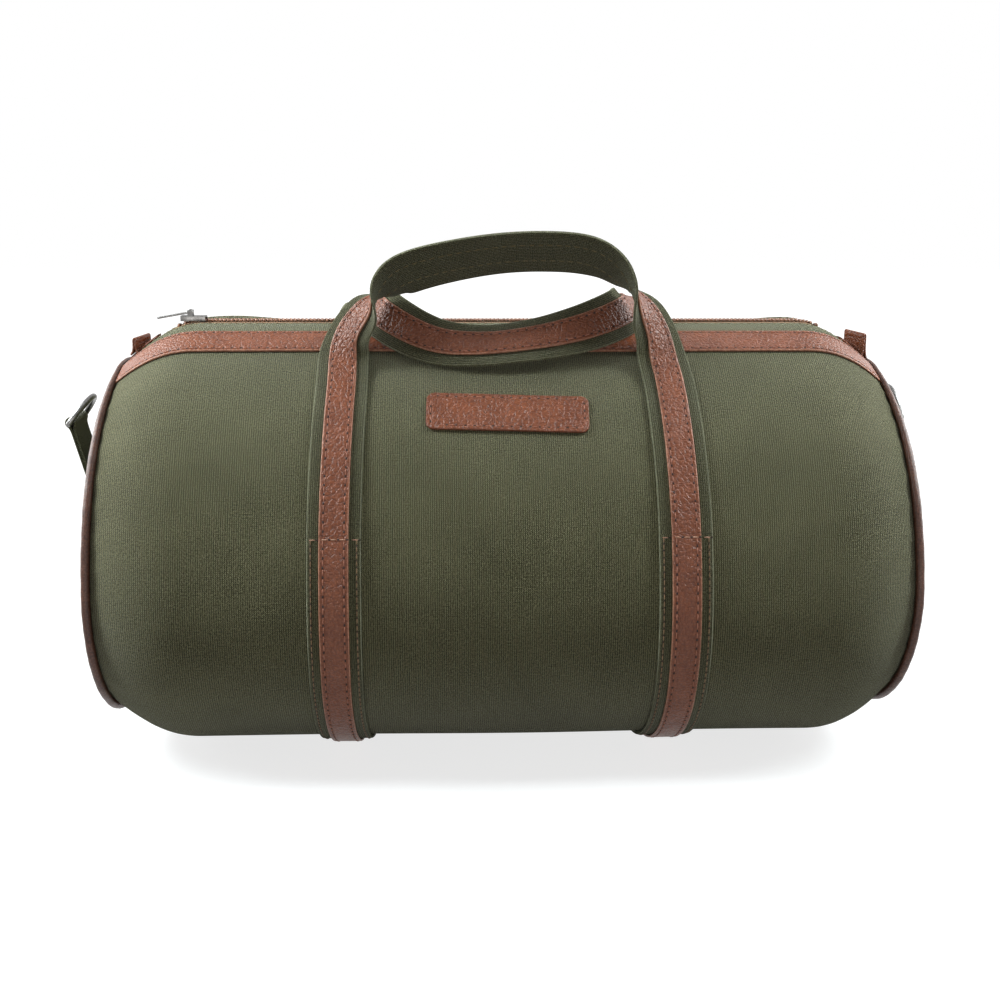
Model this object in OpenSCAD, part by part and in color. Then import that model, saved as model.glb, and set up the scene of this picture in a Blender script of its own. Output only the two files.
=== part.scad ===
/* [Body] */
// Length over the piping at both ends
bag_l = 500; // [420:1:600]
// Height of the canvas body from its base to the zip
body_h = 265; // [245:1:295]
// Width of the flat base, front to back
base_flat = 96; // [70:1:120]
// Radius of the round base edges
base_r = 98; // [90:1:106]
// Radius of the front and rear sides
side_r = 185; // [170:1:220]
// Radius across the top at the zip
top_r = 80; // [65:1:90]
// Thickness of the canvas with its backing
skin_t = 2.4; // [1.6:0.1:3.2]
// Thickness of the lining
lining_t = 1; // [0.6:0.1:1.6]
// Thickness of the board under the lining
board_t = 3; // [2:0.5:5]
// How far the body draws in at its ends
rim_inset = 20; // [10:1:24]
// Length over which each end draws in
end_round = 55; // [45:1:65]
// Extra share of that draw-in at the zip
top_draw = 0.37; // [0:0.01:0.5]
// Extra share of that draw-in at the base
base_draw = 0.22; // [0:0.01:0.5]
// How far the top of each end leans in
top_lean = 4.5; // [0:0.5:6]
// How far the base of each end leans in
base_lean = 7.5; // [0:0.5:14]
// Bulge of the end panels
end_dome = 16; // [8:1:22]
// Diameter of the piping
piping_d = 6; // [4:0.5:8]

/* [Zip] */
// Width of one lip, from the zip's middle to the leather band
lip_w = 29; // [24:1:32]
// Thickness of a lip
lip_t = 1.6; // [1.2:0.1:2.2]
// Width of each side's zip tape
tape_w = 6.6; // [5:0.2:8]
// Thickness of the zip tape
tape_t = 0.8; // [0.6:0.1:1.2]
// Width of each row of teeth
teeth_w = 2.5; // [2:0.1:3]
// Height of the teeth above the lips
teeth_h = 2; // [1.4:0.1:2.6]
// Pitch of the teeth on one side
tooth_pitch = 5; // [4:0.5:7]
// Length of the slider
slider_l = 16; // [12:1:18]
// Length of the pull
pull_l = 22; // [16:1:24]
// Width of the pull
pull_w = 4; // [3:0.2:4.4]

/* [Leather] */
// Width of the leather band beside each lip
band_w = 24; // [18:1:28]
// Thickness of the leather
leather_t = 1.6; // [1:0.1:2.4]
// Width of the leather strip on the straps
strip_w = 17.5; // [12:0.5:24]
// Length of the bare label patch
label_l = 99; // [70:1:120]
// Height of the label patch
label_h = 27; // [18:1:34]
// Drop of the label's middle below the zip
label_drop = 47.6; // [42:0.2:60]
// Width of the zip end tabs
tab_w = 18; // [14:1:22]
// Height of the zip end tabs above the mouth's ends
tab_h = 11; // [8:1:16]
// Distance of the zip end tabs from the bag's ends
tab_in = 13; // [12:0.5:16]
// Turn of the left end tab about the vertical
left_tab_turn = 22; // [0:1:60]
// Turn of the right end tab about the vertical
right_tab_turn = 45; // [0:1:60]

/* [Straps] */
// Width of the canvas straps
strap_w = 32; // [26:1:38]
// Thickness of the canvas straps
strap_t = 2.4; // [2:0.1:3.2]
// Distance of each strap from the middle of the bag
strap_x = 103.5; // [92:0.5:125]
// Height above the floor where the straps stop being sewn down
sewn_z = 156; // [140:1:165]
// Height of the front handle's arch above the zip
arch_rise = 44; // [42:1:60]

/* [Rings] */
// Wire diameter of the strap rings
ring_wire = 4; // [3:0.5:5]
// Inner width of the strap rings
ring_w = 34; // [33:1:42]
// Length of the tab that holds a ring
ring_tab_l = 54; // [40:1:60]
// Height of the tab's bend above the middle of the end panel
ring_rise = 20; // [10:1:30]
// Lean of the left ring tab away from the bag
left_lean = 15; // [0:1:24]
// Lean of the right ring tab away from the bag
right_lean = -2; // [-2:1:24]

/* [Hidden] */

canvas = "#5b6346";
dark_canvas = "#464b36";
tan_leather = "#8f5238";
dark_leather = "#4a2d22";
lining_cloth = "#8a8370";
board_grey = "#3c3a36";
zip_brown = "#6a4a34";
steel = "#a9a7a2";

// Running gap between separate pieces
gap = 0.3;
// Small angle that marks the two ends of the flat base
tiny = 0.01;
// Degrees in a radian
rad = 180 / PI;

// Height of the body's base, which stands on the sewn straps
lift = 2 * gap + strap_t + leather_t;
top_z = lift + body_h;
half_l = bag_l / 2;
// Inner ends of the drawn-in stretches, where the straight body stops
straight = half_l - end_round;
// End planes of the canvas, just inside the piping
canvas_x = half_l - 1;

// The section is a chain of tangent arcs: base edge, side and top
base_c = [base_flat / 2, base_r];
top_c = [0, body_h - top_r];
reach_b = side_r - base_r;
reach_t = side_r - top_r;
span = top_c - base_c;
side_turn = acos((reach_b ^ 2 + reach_t ^ 2 - norm(span) ^ 2) / (2 * reach_b * reach_t));
turn_a = atan2(-span.x, span.y) - atan2(-reach_t * sin(side_turn), reach_b - reach_t * cos(side_turn));
turn_b = turn_a + side_turn;
side_c = base_c - reach_b * [sin(turn_a), -cos(turn_a)];

// Turn over which the extra draw-in at the top and at the base fades out
draw_turn = 70;
// Shares of the body's height where an end starts to lean, up and down, and over which the lean grows
lean_top = 0.55;
lean_base = 0.43;
lean_way = 0.38;

// Way into an end, 0 where the straight body stops and 1 at the bag's end
function end_way(x) = max(0, abs(x) - straight) / end_round;
function ease(f) = let (g = min(1, max(0, f))) g ^ 2 * (3 - 2 * g);
// Inset of the section at a station and a turn
function inset(x, a) =
  let (top = ease((a - 180 + draw_turn) / draw_turn), base = ease((draw_turn - a) / draw_turn))
  rim_inset * end_way(x) ^ 2 * (1 + top_draw * top + base_draw * base);
// Centre and radius of the arc that holds a turn angle
function arc_c(a) = a <= turn_a ? base_c : a <= turn_b ? side_c : top_c;
function arc_r(a) = a <= turn_a ? base_r : a <= turn_b ? side_r : top_r;
// Point of the section at a signed turn, 0 at the base and 180 at the zip, negative at the front
function skin(x, t, off) =
  let (a = abs(t), c = arc_c(a), r0 = arc_r(a) - inset(x, a), r = r0 + off)
  [x - sign(x) * lean(x, lift + c.y - r0 * cos(a)), sign(t) * (c.x + r * sin(a)), lift + c.y - r * cos(a)];
// Lean of an end towards the middle, at a station and a height
function lean(x, z) =
  let (h = (z - lift) / body_h, up = max(0, h - lean_top) / lean_way, down = max(0, lean_base - h) / lean_way)
  end_way(x) ^ 2 * (top_lean * up ^ 4 + base_lean * down ^ 1.5);

// Turn angle at an arc distance from the zip
top_arc = top_r * (180 - turn_b) / rad;
function turn_at(s) = s <= top_arc ? 180 - s / top_r * rad : turn_b - (s - top_arc) / side_r * rad;
// Turn angle of the side at a height above the floor
function turn_at_z(z) = acos((lift + side_c.y - z) / side_r);

open_turn = turn_at(lip_w + gap);
sewn_turn = turn_at_z(sewn_z);

function steps(a, b, n) = [for (i = [0:n]) a + (b - a) * i / n];
// Turns from a front angle down round the base and up to a rear angle
function round_base(a, n) = concat(-steps(a, tiny, n), steps(tiny, a, n));
// Turns from a rear arc distance over the top to the same distance at the front
function over_top(s, n) = [
  for (i = [n:-1:-n]) let (a = turn_at(abs(i) * s / n)) i < 0 ? -a : a
];
// Turns all the way round, from the rear of the base
function all_round(n) = concat(steps(tiny, 180, n), [for (a = steps(180, tiny, n)) if (a < 180) -a]);

end_stations = [0, 0.3, 0.55, 0.78, 1];
function end_x(last) = [for (k = end_stations) straight + gap + k * (last - straight - gap)];
function both_ends(right) = concat([for (k = [len(right) - 1:-1:0]) -right[k]], right);
right_end_x = end_x(canvas_x);
full_x = both_ends(right_end_x);
// The bands stop short of the piping
band_room = 0.5;
band_x = both_ends(end_x(half_l - piping_d / 2 - band_room));

// Triangles of a wall of rings, each with m points, cut the same way on both faces of a sheet
function tube_faces(rings, m) = [
  for (k = [0:rings - 2], i = [0:m - 1])
    let (j = (i + 1) % m, p = k * m, q = p + m)
    each i < m / 2
      ? [[p + i, q + j, p + j], [p + i, q + i, q + j]]
      : [[p + i, q + i, p + j], [q + i, q + j, p + j]]
];
function ribbon_caps(rings, m) = [
  for (i = [0:m / 2 - 2])
    let (o = m - 1 - i, e = (rings - 1) * m)
    each [[i, i + 1, o - 1], [i, o - 1, o], [e + i, e + o - 1, e + i + 1], [e + i, e + o, e + o - 1]]
];

// Skin between two offsets, over a list of turns and a list of stations
module skin_piece(turns, out, inner, stations) {
  last = len(turns) - 1;
  m = 2 * len(turns);
  points = [
    for (x = stations) each concat(
      [for (t = turns) skin(x, t, out)],
      [for (i = [last:-1:0]) skin(x, turns[i], inner)]
    )
  ];
  polyhedron(points, concat(tube_faces(len(stations), m), ribbon_caps(len(stations), m)), convexity = 6);
}

// Body
module main_panel() {
  color(canvas) skin_piece(round_base(open_turn, 18), 0, -skin_t, full_x);
}

lining_out = -skin_t - gap;
module lining() {
  color(lining_cloth)
    skin_piece(round_base(open_turn, 18), lining_out, lining_out - lining_t, full_x);
}

board_z = lift + skin_t + 2 * gap + lining_t;
// Room between the board and each drawn-in end
board_room = 10;
board_l = 2 * (straight - board_room);
module base_board() {
  color(board_grey)
    translate([-board_l / 2, -base_flat / 2, board_z]) cube([board_l, base_flat, board_t]);
}

// Rings of a domed end panel, from its rim to its middle
dome_rings = [1, 0.8, 0.55, 0.3, 0.1];
dome_turns = all_round(18);
dome_mid = lift + body_h / 2 - 5;
// Outermost point of the right end panel
dome_x = canvas_x + gap + skin_t + end_dome;
edge_off = -0.6;
function dome_point(t, f, thick) =
  let (p = skin(canvas_x, t, edge_off))
  [dome_x - thick - end_dome * f ^ 2 + (p.x - canvas_x) * f ^ 2, f * p.y, dome_mid + f * (p.z - dome_mid)];

module end_panel() {
  m = len(dome_turns);
  n = len(dome_rings);
  points = concat(
    [for (f = dome_rings) each [for (t = dome_turns) dome_point(t, f, 0)]],
    [for (k = [n - 1:-1:0]) each [for (t = dome_turns) dome_point(t, dome_rings[k], skin_t)]]
  );
  pole = concat(points, [[dome_x, 0, dome_mid], [dome_x - skin_t, 0, dome_mid]]);
  outer = tube_faces(n, m);
  inner = [for (f = tube_faces(n, m)) f + [n * m, n * m, n * m]];
  rim = [
    for (i = [0:m - 1])
      let (j = (i + 1) % m, e = (2 * n - 1) * m)
      each [[e + i, j, e + j], [e + i, i, j]]
  ];
  caps = [
    for (i = [0:m - 1])
      let (j = (i + 1) % m, e = (n - 1) * m)
      each [[e + i, 2 * n * m, e + j], [n * m + i, n * m + j, 2 * n * m + 1]]
  ];
  color(canvas) polyhedron(pole, concat(outer, inner, rim, caps), convexity = 4);
}

module left_end_panel() {
  mirror([1, 0, 0]) end_panel();
}

module right_end_panel() {
  end_panel();
}

piping_sides = 8;
piping_x = half_l + 0.6;
// Slope of the drawn-in skin beside the piping, as radius lost per length
function end_slope(t) =
  let (a = skin(piping_x - piping_d / 2, t, 0), b = skin(piping_x, t, 0)) norm([b.y - a.y, b.z - a.z]) / (b.x - a.x);
// Height of the piping's middle above the skin, clear of the slope
function piping_off(t) = (piping_d / 2 + gap) * sqrt(1 + end_slope(t) ^ 2) + gap;
module piping() {
  r = piping_d / 2;
  turns = all_round(22);
  n = len(turns);
  points = [
    for (t = turns, k = [0:piping_sides - 1])
      let (f = k * 360 / piping_sides, p = skin(piping_x, t, piping_off(t) + r * cos(f)))
      [p.x + r * sin(f), p.y, p.z]
  ];
  faces = [
    for (i = [0:n - 1], k = [0:piping_sides - 1])
      let (p = i * piping_sides, q = ((i + 1) % n) * piping_sides, l = (k + 1) % piping_sides)
      each [[p + k, p + l, q + l], [p + k, q + l, q + k]]
  ];
  color(dark_leather) polyhedron(points, faces, convexity = 4);
}

module left_piping() {
  mirror([1, 0, 0]) piping();
}

module right_piping() {
  piping();
}

// Leather bands beside the mouth
module band() {
  turns = [for (s = steps(lip_w + gap + band_w, lip_w + gap, 4)) turn_at(s)];
  color(tan_leather) skin_piece(turns, gap + leather_t, gap, band_x);
}

module rear_band() {
  band();
}

module front_band() {
  mirror([0, 1, 0]) band();
}

// Mouth: each lip folds in about its outer edge
zip_gap = 1.3;
lip_in = zip_gap + tape_w + gap;
fold_s = lip_w - lip_t / 2;
fold_turn = turn_at(fold_s);
fold_c = skin(0, fold_turn, -lip_t / 2);

function at_s(s, off) = let (p = skin(0, turn_at(s), off)) [p.y, p.z];

// Lays a flat outline, y across and z up, along the bag between two stations
module along(x0, x1) {
  translate([x0, 0, 0]) rotate([90, 0, 90]) linear_extrude(x1 - x0) children();
}

module lip() {
  r = lip_t / 2;
  outline = concat(
    [for (s = steps(lip_in, fold_s, 6)) at_s(s, 0)],
    [for (k = [30:30:150]) [fold_c.y, fold_c.z] + r * [cos(fold_turn - 90 - k), sin(fold_turn - 90 - k)]],
    [for (s = steps(fold_s, lip_in, 6)) at_s(s, -lip_t)]
  );
  color(canvas) along(-straight, straight) polygon(outline);
}

module rear_lip() {
  lip();
}

module front_lip() {
  mirror([0, 1, 0]) lip();
}

tape_off = -0.4;
module tape() {
  outline = concat(
    [for (s = steps(zip_gap, lip_in - gap, 3)) at_s(s, tape_off)],
    [for (s = steps(lip_in - gap, zip_gap, 3)) at_s(s, tape_off - tape_t)]
  );
  color(zip_brown) along(-straight, straight) polygon(outline);
}

module rear_zip_tape() {
  tape();
}

module front_zip_tape() {
  mirror([0, 1, 0]) tape();
}

teeth_z = top_z + tape_off + gap;
teeth_top = top_z + teeth_h;
module teeth() {
  n = floor(2 * straight / tooth_pitch);
  back = zip_gap + teeth_w;
  root = zip_gap + teeth_w / 2;
  x0 = -n * tooth_pitch / 2;
  comb = concat(
    [[-x0, back], [x0, back]],
    [
      for (i = [0:n - 1])
        let (a = x0 + i * tooth_pitch, b = a + tooth_pitch * 0.55)
        each [[a, zip_gap], [b, zip_gap], [b, root], [a + tooth_pitch, root]]
    ]
  );
  color(zip_brown) translate([0, 0, teeth_z]) linear_extrude(teeth_top - teeth_z) polygon(comb);
}

module rear_teeth() {
  teeth();
}

module front_teeth() {
  mirror([0, 1, 0]) teeth();
}

module mouth_end() {
  color(canvas) skin_piece(over_top(lip_w, 6), 0, -lip_t, right_end_x);
}

module left_mouth_end() {
  mirror([1, 0, 0]) mouth_end();
}

module right_mouth_end() {
  mouth_end();
}

// Parked slider, its stop beyond it and the teeth below it
park_x = straight + slider_l / 2;
stop_x = park_x + slider_l / 2 + 2;
module end_teeth() {
  stations = steps(straight + gap, stop_x - 0.5, 3);
  color(zip_brown) skin_piece(over_top(zip_gap + teeth_w, 2), teeth_h, gap, stations);
}

module left_end_teeth() {
  mirror([1, 0, 0]) end_teeth();
}

module right_end_teeth() {
  end_teeth();
}

module zip_stop() {
  color(steel) skin_piece(over_top(zip_gap + teeth_w, 2), teeth_h + 0.6, gap, [stop_x, stop_x + 3]);
}

module zip_stops() {
  zip_stop();
  mirror([1, 0, 0]) zip_stop();
}

// Slider and pull
plate_t = 1.4;
plate_z = teeth_top + gap;
rail_y = zip_gap + teeth_w + gap;
eye_r = 1.9;
pin_r = 1;
pin_x = -park_x - 2;
pin_z = plate_z + plate_t + gap + eye_r;

module zip_slider() {
  post_y = pull_w / 2 + gap;
  w = rail_y + 1;
  color(steel) {
    translate([-park_x - slider_l / 2, -w, plate_z]) cube([slider_l, 2 * w, plate_t]);
    for (k = [-1, 1]) {
      translate([-park_x - slider_l / 2, k * (rail_y + 0.5) - 0.5, top_z + gap])
        cube([slider_l, 1, plate_z + plate_t - top_z - gap]);
      translate([pin_x - 1.6, k * (post_y + 0.7) - 0.7, plate_z + plate_t / 2])
        cube([3.2, 1.4, pin_z + 1.4 - plate_z - plate_t / 2]);
    }
    translate([pin_x, 0, pin_z]) rotate([90, 0, 0]) cylinder(r = pin_r, h = 2 * post_y + 0.4, center = true, $fn = 32);
  }
}

pull_dip = 10;
module zip_pull() {
  color(steel)
    translate([pin_x, pull_w / 2, pin_z]) rotate([90, 0, 0]) linear_extrude(pull_w) difference() {
      union() {
        circle(r = eye_r, $fn = 48);
        rotate(180 + pull_dip) translate([0, -0.7]) square([pull_l, 1.4]);
      }
      circle(r = pin_r + 0.25, $fn = 48);
    }
}

// Leather tabs that stand at the ends of the zip
tab_x = half_l - tab_in;
tab_off = gap + leather_t;
function tab_floor(x, y) = lift + top_c.y + sqrt((top_r + tab_off - inset(x, 180)) ^ 2 - y ^ 2);

module end_tab(turn) {
  t = leather_t;
  w = tab_w / 2;
  corners = [
    for (c = [[-t, -w], [t, -w], [t, w], [-t, w]])
      [tab_x + c.x * cos(turn) - c.y * sin(turn), c.x * sin(turn) + c.y * cos(turn)]
  ];
  rise = tab_floor(tab_x, 0) + tab_h;
  tab_lean = lean(tab_x, top_z - inset(tab_x, 180));
  points = concat(
    [for (c = corners) [c.x - tab_lean, c.y, tab_floor(c.x, c.y) - leather_t / 2]],
    [for (c = corners) [c.x - tab_lean, c.y, rise]]
  );
  color(tan_leather) {
    skin_piece(over_top(tab_w / 2, 3), tab_off, gap, steps(tab_x - 9, tab_x + 9, 3));
    polyhedron(points, concat(tube_faces(2, 4), ribbon_caps(2, 4)));
  }
}

module left_end_tab() {
  mirror([1, 0, 0]) end_tab(left_tab_turn);
}

module right_end_tab() {
  end_tab(right_tab_turn);
}

// Straps sewn to the body, from the front cross-stitch under the base to the rear one
module strap() {
  x = [strap_x - strap_w / 2, strap_x + strap_w / 2];
  color(canvas) skin_piece(round_base(sewn_turn, 18), gap + strap_t, gap, x);
}

module strap_leather() {
  x = [strap_x - strip_w / 2, strap_x + strip_w / 2];
  color(tan_leather) skin_piece(round_base(sewn_turn, 18), lift, lift - leather_t, x);
}

module left_strap() {
  mirror([1, 0, 0]) strap();
}

module right_strap() {
  strap();
}

module left_strap_leather() {
  mirror([1, 0, 0]) strap_leather();
}

module right_strap_leather() {
  strap_leather();
}

// Handles: a path of points with the direction that the leather side faces
leave_turn = turn_at(85);
hinge_turn = sewn_turn + 0.5 / side_r * rad;
leg_turns = steps(hinge_turn, leave_turn, 5);
// How far the front handle's legs drift inwards on their way up
leg_drift = 2.5;
function leg(k, drift) = [
  for (a = leg_turns)
    let (f = (a - hinge_turn) / (leave_turn - hinge_turn))
    concat(skin(strap_x - drift * f ^ 1.5, k * a, gap + 0.2), [0, k * sin(a), -cos(a)])
];
// Free halves of the front handle: x from the strap, y, share of the arch's rise, leather direction
front_right = [
  [-5.5, -62, -0.4, 0.1, -0.72, 0.69],
  [-8.5, -57, -0.11, 0.4, -0.85, 0.35],
  [-13.5, -55, 0.14, 0.65, -0.75, 0.1],
  [-21, -55.5, 0.38, 0.95, -0.3, 0.1],
  [-29, -57, 0.62, 0.85, 0.3, 0.4],
  [-40, -59.5, 0.88, 0.5, 0.65, 0.6],
  [-55, -61, 1.03, 0.15, 0.76, 0.63],
  [-78, -61, 1.07, 0.03, 0.78, 0.62],
  [-strap_x, -61, 1.05, 0, 0.78, 0.62]
];
front_left = [
  [-3, -62, -0.4, 0.1, -0.72, 0.69],
  [-6, -57, -0.12, 0.45, -0.8, 0.38],
  [-12, -55, 0.1, 0.68, -0.7, 0.15],
  [-20, -56, 0.3, 0.9, -0.35, 0.1],
  [-28, -57.5, 0.5, 0.75, 0.45, 0.4],
  [-37, -60, 0.7, 0.4, 0.78, 0.46],
  [-52, -61.5, 0.84, 0.16, 0.82, 0.54],
  [-78, -61, 0.97, 0.05, 0.8, 0.6]
];
// Free halves of the rear handle: x from the strap, y, height above the zip, leather direction
rear_right = [
  [-3, 58, -15, 0, 0.6, 0.8],
  [-8, 40, -1.5, 0.05, 0.45, 0.9],
  [-13, 22, 8, 0.1, 0.15, 0.98],
  [-17, 4, 12, 0.15, 0, 0.98],
  [-20, -14, 12.5, 0.3, -0.1, 0.93],
  [-22.5, -28, 11.5, 0.6, -0.35, 0.7],
  [-27, -37, 9.5, 0.5, -0.75, 0.4],
  [-35, -44, 6, 0.2, -0.9, 0.35],
  [-48, -51, 1.5, 0.05, -0.9, 0.43],
  [-62, -55, -2.5, 0.02, -0.84, 0.54],
  [-80, -57, -6.5, 0, -0.76, 0.65],
  [-strap_x, -57.5, -10, 0, -0.7, 0.71]
];
rear_left = [
  [-3, 58, -15, 0, 0.6, 0.8],
  [-8, 40, -1.5, 0.05, 0.45, 0.9],
  [-13, 22, 8, 0.1, 0.15, 0.98],
  [-17, 4, 12, 0.15, 0, 0.98],
  [-20, -14, 11.5, 0.3, -0.1, 0.93],
  [-22.5, -28, 10.5, 0.6, -0.35, 0.7],
  [-27, -37, 7.8, 0.5, -0.75, 0.4],
  [-35, -44, 2.6, 0.2, -0.9, 0.35],
  [-48, -51, -4.2, 0.05, -0.88, 0.46],
  [-64, -55, -9.5, 0.02, -0.82, 0.57],
  [-84, -57, -11, 0, -0.74, 0.67]
];
function flip(p) = [-p[0], p[1], p[2], -p[3], p[4], p[5]];
// Whole path of a handle from its right half and its left half, given as if it were the right one
function both_halves(right, left) = concat(right, [for (i = [len(left) - 1:-1:0]) flip(left[i])]);
function half(k, drift, rise, free) = concat(
  leg(k, drift),
  [for (p = free) [strap_x + p[0], p[1], top_z + rise * p[2], p[3], p[4], p[5]]]
);
front_path = both_halves(half(-1, leg_drift, arch_rise, front_right), half(-1, leg_drift, arch_rise, front_left));
rear_path = both_halves(half(1, 0, 1, rear_right), half(1, 0, 1, rear_left));

// Points between the path's own, on a smooth curve through them
function between(p, i, f) =
  let (
    n = len(p) - 1,
    a = p[max(0, i - 1)],
    b = p[i],
    c = p[min(n, i + 1)],
    d = p[min(n, i + 2)]
  )
  b + f / 2 * (c - a + f * (2 * a - 5 * b + 4 * c - d + f * (3 * b - a - 3 * c + d)));
function smooth(p, n) = concat(
  [for (i = [0:len(p) - 2], k = [0:n - 1]) between(p, i, k / n)],
  [p[len(p) - 1]]
);
function place(p) = [p[0], p[1], p[2]];
function facing(p) = [p[3], p[4], p[5]];
function unit(v) = v / norm(v);

// Corners of a ribbon's section, at places across the path and two heights over it
function ribbon_ring(path, i, across, low, high) =
  let (
    t = unit(place(path[min(len(path) - 1, i + 1)]) - place(path[max(0, i - 1)])),
    f = facing(path[i]),
    n = unit(f - (f * t) * t),
    s = cross(t, n),
    p = place(path[i]),
    last = len(across) - 1
  )
  concat(
    [for (u = across) p + u * s + high * n],
    [for (j = [last:-1:0]) p + across[j] * s + low * n]
  );

module ribbon(control, across, low, high) {
  path = smooth(control, 3);
  m = 2 * len(across);
  points = [for (i = [0:len(path) - 1]) each ribbon_ring(path, i, across, low, high)];
  polyhedron(points, concat(tube_faces(len(path), m), ribbon_caps(len(path), m)), convexity = 8);
}

// The canvas shares the leather's edges, so that their facets run side by side
strip_across = [-strip_w / 2, strip_w / 2];
strap_across = [-strap_w / 2, -strip_w / 2, strip_w / 2, strap_w / 2];

module front_handle() {
  color(canvas) ribbon(front_path, strap_across, 0, strap_t);
}

module front_handle_leather() {
  color(tan_leather) ribbon(front_path, strip_across, strap_t + gap, strap_t + gap + leather_t);
}

module rear_handle() {
  color(canvas) ribbon(rear_path, strap_across, 0, strap_t);
}

module rear_handle_leather() {
  color(tan_leather) ribbon(rear_path, strip_across, strap_t + gap, strap_t + gap + leather_t);
}

// Bare label patch on the front
module label_patch() {
  mid = turn_at_z(top_z - label_drop);
  half = label_h / 2 / side_r * rad;
  turns = [for (a = steps(mid - half, mid + half, 4)) a];
  color(tan_leather) mirror([0, 1, 0]) skin_piece(turns, gap + 1.8, gap, [-label_l / 2, label_l / 2]);
}

// Ring tabs and rings on the end panels
ring_tab_w = strap_w;
ring_tab_t = 3.6;
ring_eye_r = ring_wire / 2 + 1.6;
ring_foot_x = dome_x + gap + ring_tab_t / 2;
ring_foot_z = dome_mid + ring_rise;
ring_foot_h = 24;
function ring_eye_x(lean) = ring_foot_x + ring_tab_l * sin(lean);
function ring_eye_z(lean) = ring_foot_z + ring_tab_l * cos(lean);

module ring_tab(lean) {
  color(canvas)
    translate([ring_foot_x, ring_tab_w / 2, ring_foot_z]) rotate([90, 0, 0]) linear_extrude(ring_tab_w) difference() {
      union() {
        translate([-ring_tab_t / 2, -ring_foot_h]) square([ring_tab_t, ring_foot_h]);
        circle(r = ring_tab_t / 2, $fn = 48);
        rotate(-lean) {
          translate([-ring_tab_t / 2, 0]) square([ring_tab_t, ring_tab_l]);
          translate([0, ring_tab_l]) circle(r = ring_eye_r, $fn = 48);
        }
      }
      rotate(-lean) translate([0, ring_tab_l]) circle(r = ring_wire / 2 + gap, $fn = 48);
    }
}

module left_ring_tab() {
  mirror([1, 0, 0]) ring_tab(left_lean);
}

module right_ring_tab() {
  ring_tab(right_lean);
}

module ring(lean, tilt) {
  r = ring_w / 2 + ring_wire / 2;
  color(steel)
    translate([ring_eye_x(lean), 0, ring_eye_z(lean)]) rotate([0, -tilt, 0]) rotate([90, 0, 90]) {
      rotate_extrude(angle = 180, $fn = 64) translate([r, 0]) circle(r = ring_wire / 2, $fn = 32);
      rotate([0, 90, 0]) cylinder(r = ring_wire / 2, h = 2 * r, center = true, $fn = 32);
      for (k = [-1, 1]) translate([k * r, 0, 0]) sphere(r = ring_wire / 2, $fn = 32);
    }
}

module left_ring() {
  mirror([1, 0, 0]) ring(left_lean, 37);
}

module right_ring() {
  ring(right_lean, 10);
}

main_panel();
lining();
base_board();
left_end_panel();
right_end_panel();
left_piping();
right_piping();
front_band();
rear_band();
front_lip();
rear_lip();
front_zip_tape();
rear_zip_tape();
front_teeth();
rear_teeth();
left_mouth_end();
right_mouth_end();
left_end_teeth();
right_end_teeth();
zip_stops();
zip_slider();
zip_pull();
left_end_tab();
right_end_tab();
left_strap();
right_strap();
left_strap_leather();
right_strap_leather();
front_handle();
front_handle_leather();
rear_handle();
rear_handle_leather();
label_patch();
left_ring_tab();
right_ring_tab();
left_ring();
right_ring();
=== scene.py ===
import math
from types import SimpleNamespace as settings
import bpy
import bmesh
import numpy as np
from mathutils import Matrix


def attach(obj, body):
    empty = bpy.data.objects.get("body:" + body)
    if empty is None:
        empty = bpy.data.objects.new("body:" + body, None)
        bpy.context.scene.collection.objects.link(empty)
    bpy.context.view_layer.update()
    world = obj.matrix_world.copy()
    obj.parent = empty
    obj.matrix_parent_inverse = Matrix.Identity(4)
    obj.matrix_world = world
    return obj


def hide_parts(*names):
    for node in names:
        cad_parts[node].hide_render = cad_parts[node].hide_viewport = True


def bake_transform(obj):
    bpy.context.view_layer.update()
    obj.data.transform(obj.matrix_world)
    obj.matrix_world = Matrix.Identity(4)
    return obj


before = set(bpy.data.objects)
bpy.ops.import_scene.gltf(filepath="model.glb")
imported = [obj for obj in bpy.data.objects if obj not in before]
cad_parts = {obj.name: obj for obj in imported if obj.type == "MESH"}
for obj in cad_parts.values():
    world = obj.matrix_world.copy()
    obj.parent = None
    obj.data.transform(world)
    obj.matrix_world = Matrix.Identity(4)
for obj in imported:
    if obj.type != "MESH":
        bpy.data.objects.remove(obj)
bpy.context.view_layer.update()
mm = 0.001
seed = np.random.default_rng(7)

# the bag's section: flat base, then base edge, side and top arcs, all in mm
bag = settings(length=500, bodyHeight=265, baseFlat=96, baseRadius=98, sideRadius=185, topRadius=80,
               rimInset=20, endRound=55, skin=2.4, lift=4.6, canvasEnd=249, dome=16, topDraw=0.37,
               baseDraw=0.22, topLean=5, leftBaseLean=5.5, rightBaseLean=10, leftDraw=-0.5, rightDraw=1.0,
               lowBelow=0.43, lowPower=1.5, highAbove=0.55, highPower=4, leanSpan=0.38, topDrawFrom=110,
               baseDrawFrom=70, drawSpan=70)
halfLength = bag.length / 2
straight = halfLength - bag.endRound
topZ = bag.lift + bag.bodyHeight
baseHalf = bag.baseFlat / 2
topCentre = bag.bodyHeight - bag.topRadius
reachBase = bag.sideRadius - bag.baseRadius
reachTop = bag.sideRadius - bag.topRadius
rise = topCentre - bag.baseRadius
sideTurn = math.acos((reachBase ** 2 + reachTop ** 2 - baseHalf ** 2 - rise ** 2)
                     / (2 * reachBase * reachTop))
turnA = math.atan2(baseHalf, rise) - math.atan2(-reachTop * math.sin(sideTurn),
                                                reachBase - reachTop * math.cos(sideTurn))
turnB = turnA + sideTurn
sideY = baseHalf - reachBase * math.sin(turnA)
sideZ = bag.baseRadius + reachBase * math.cos(turnA)
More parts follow.
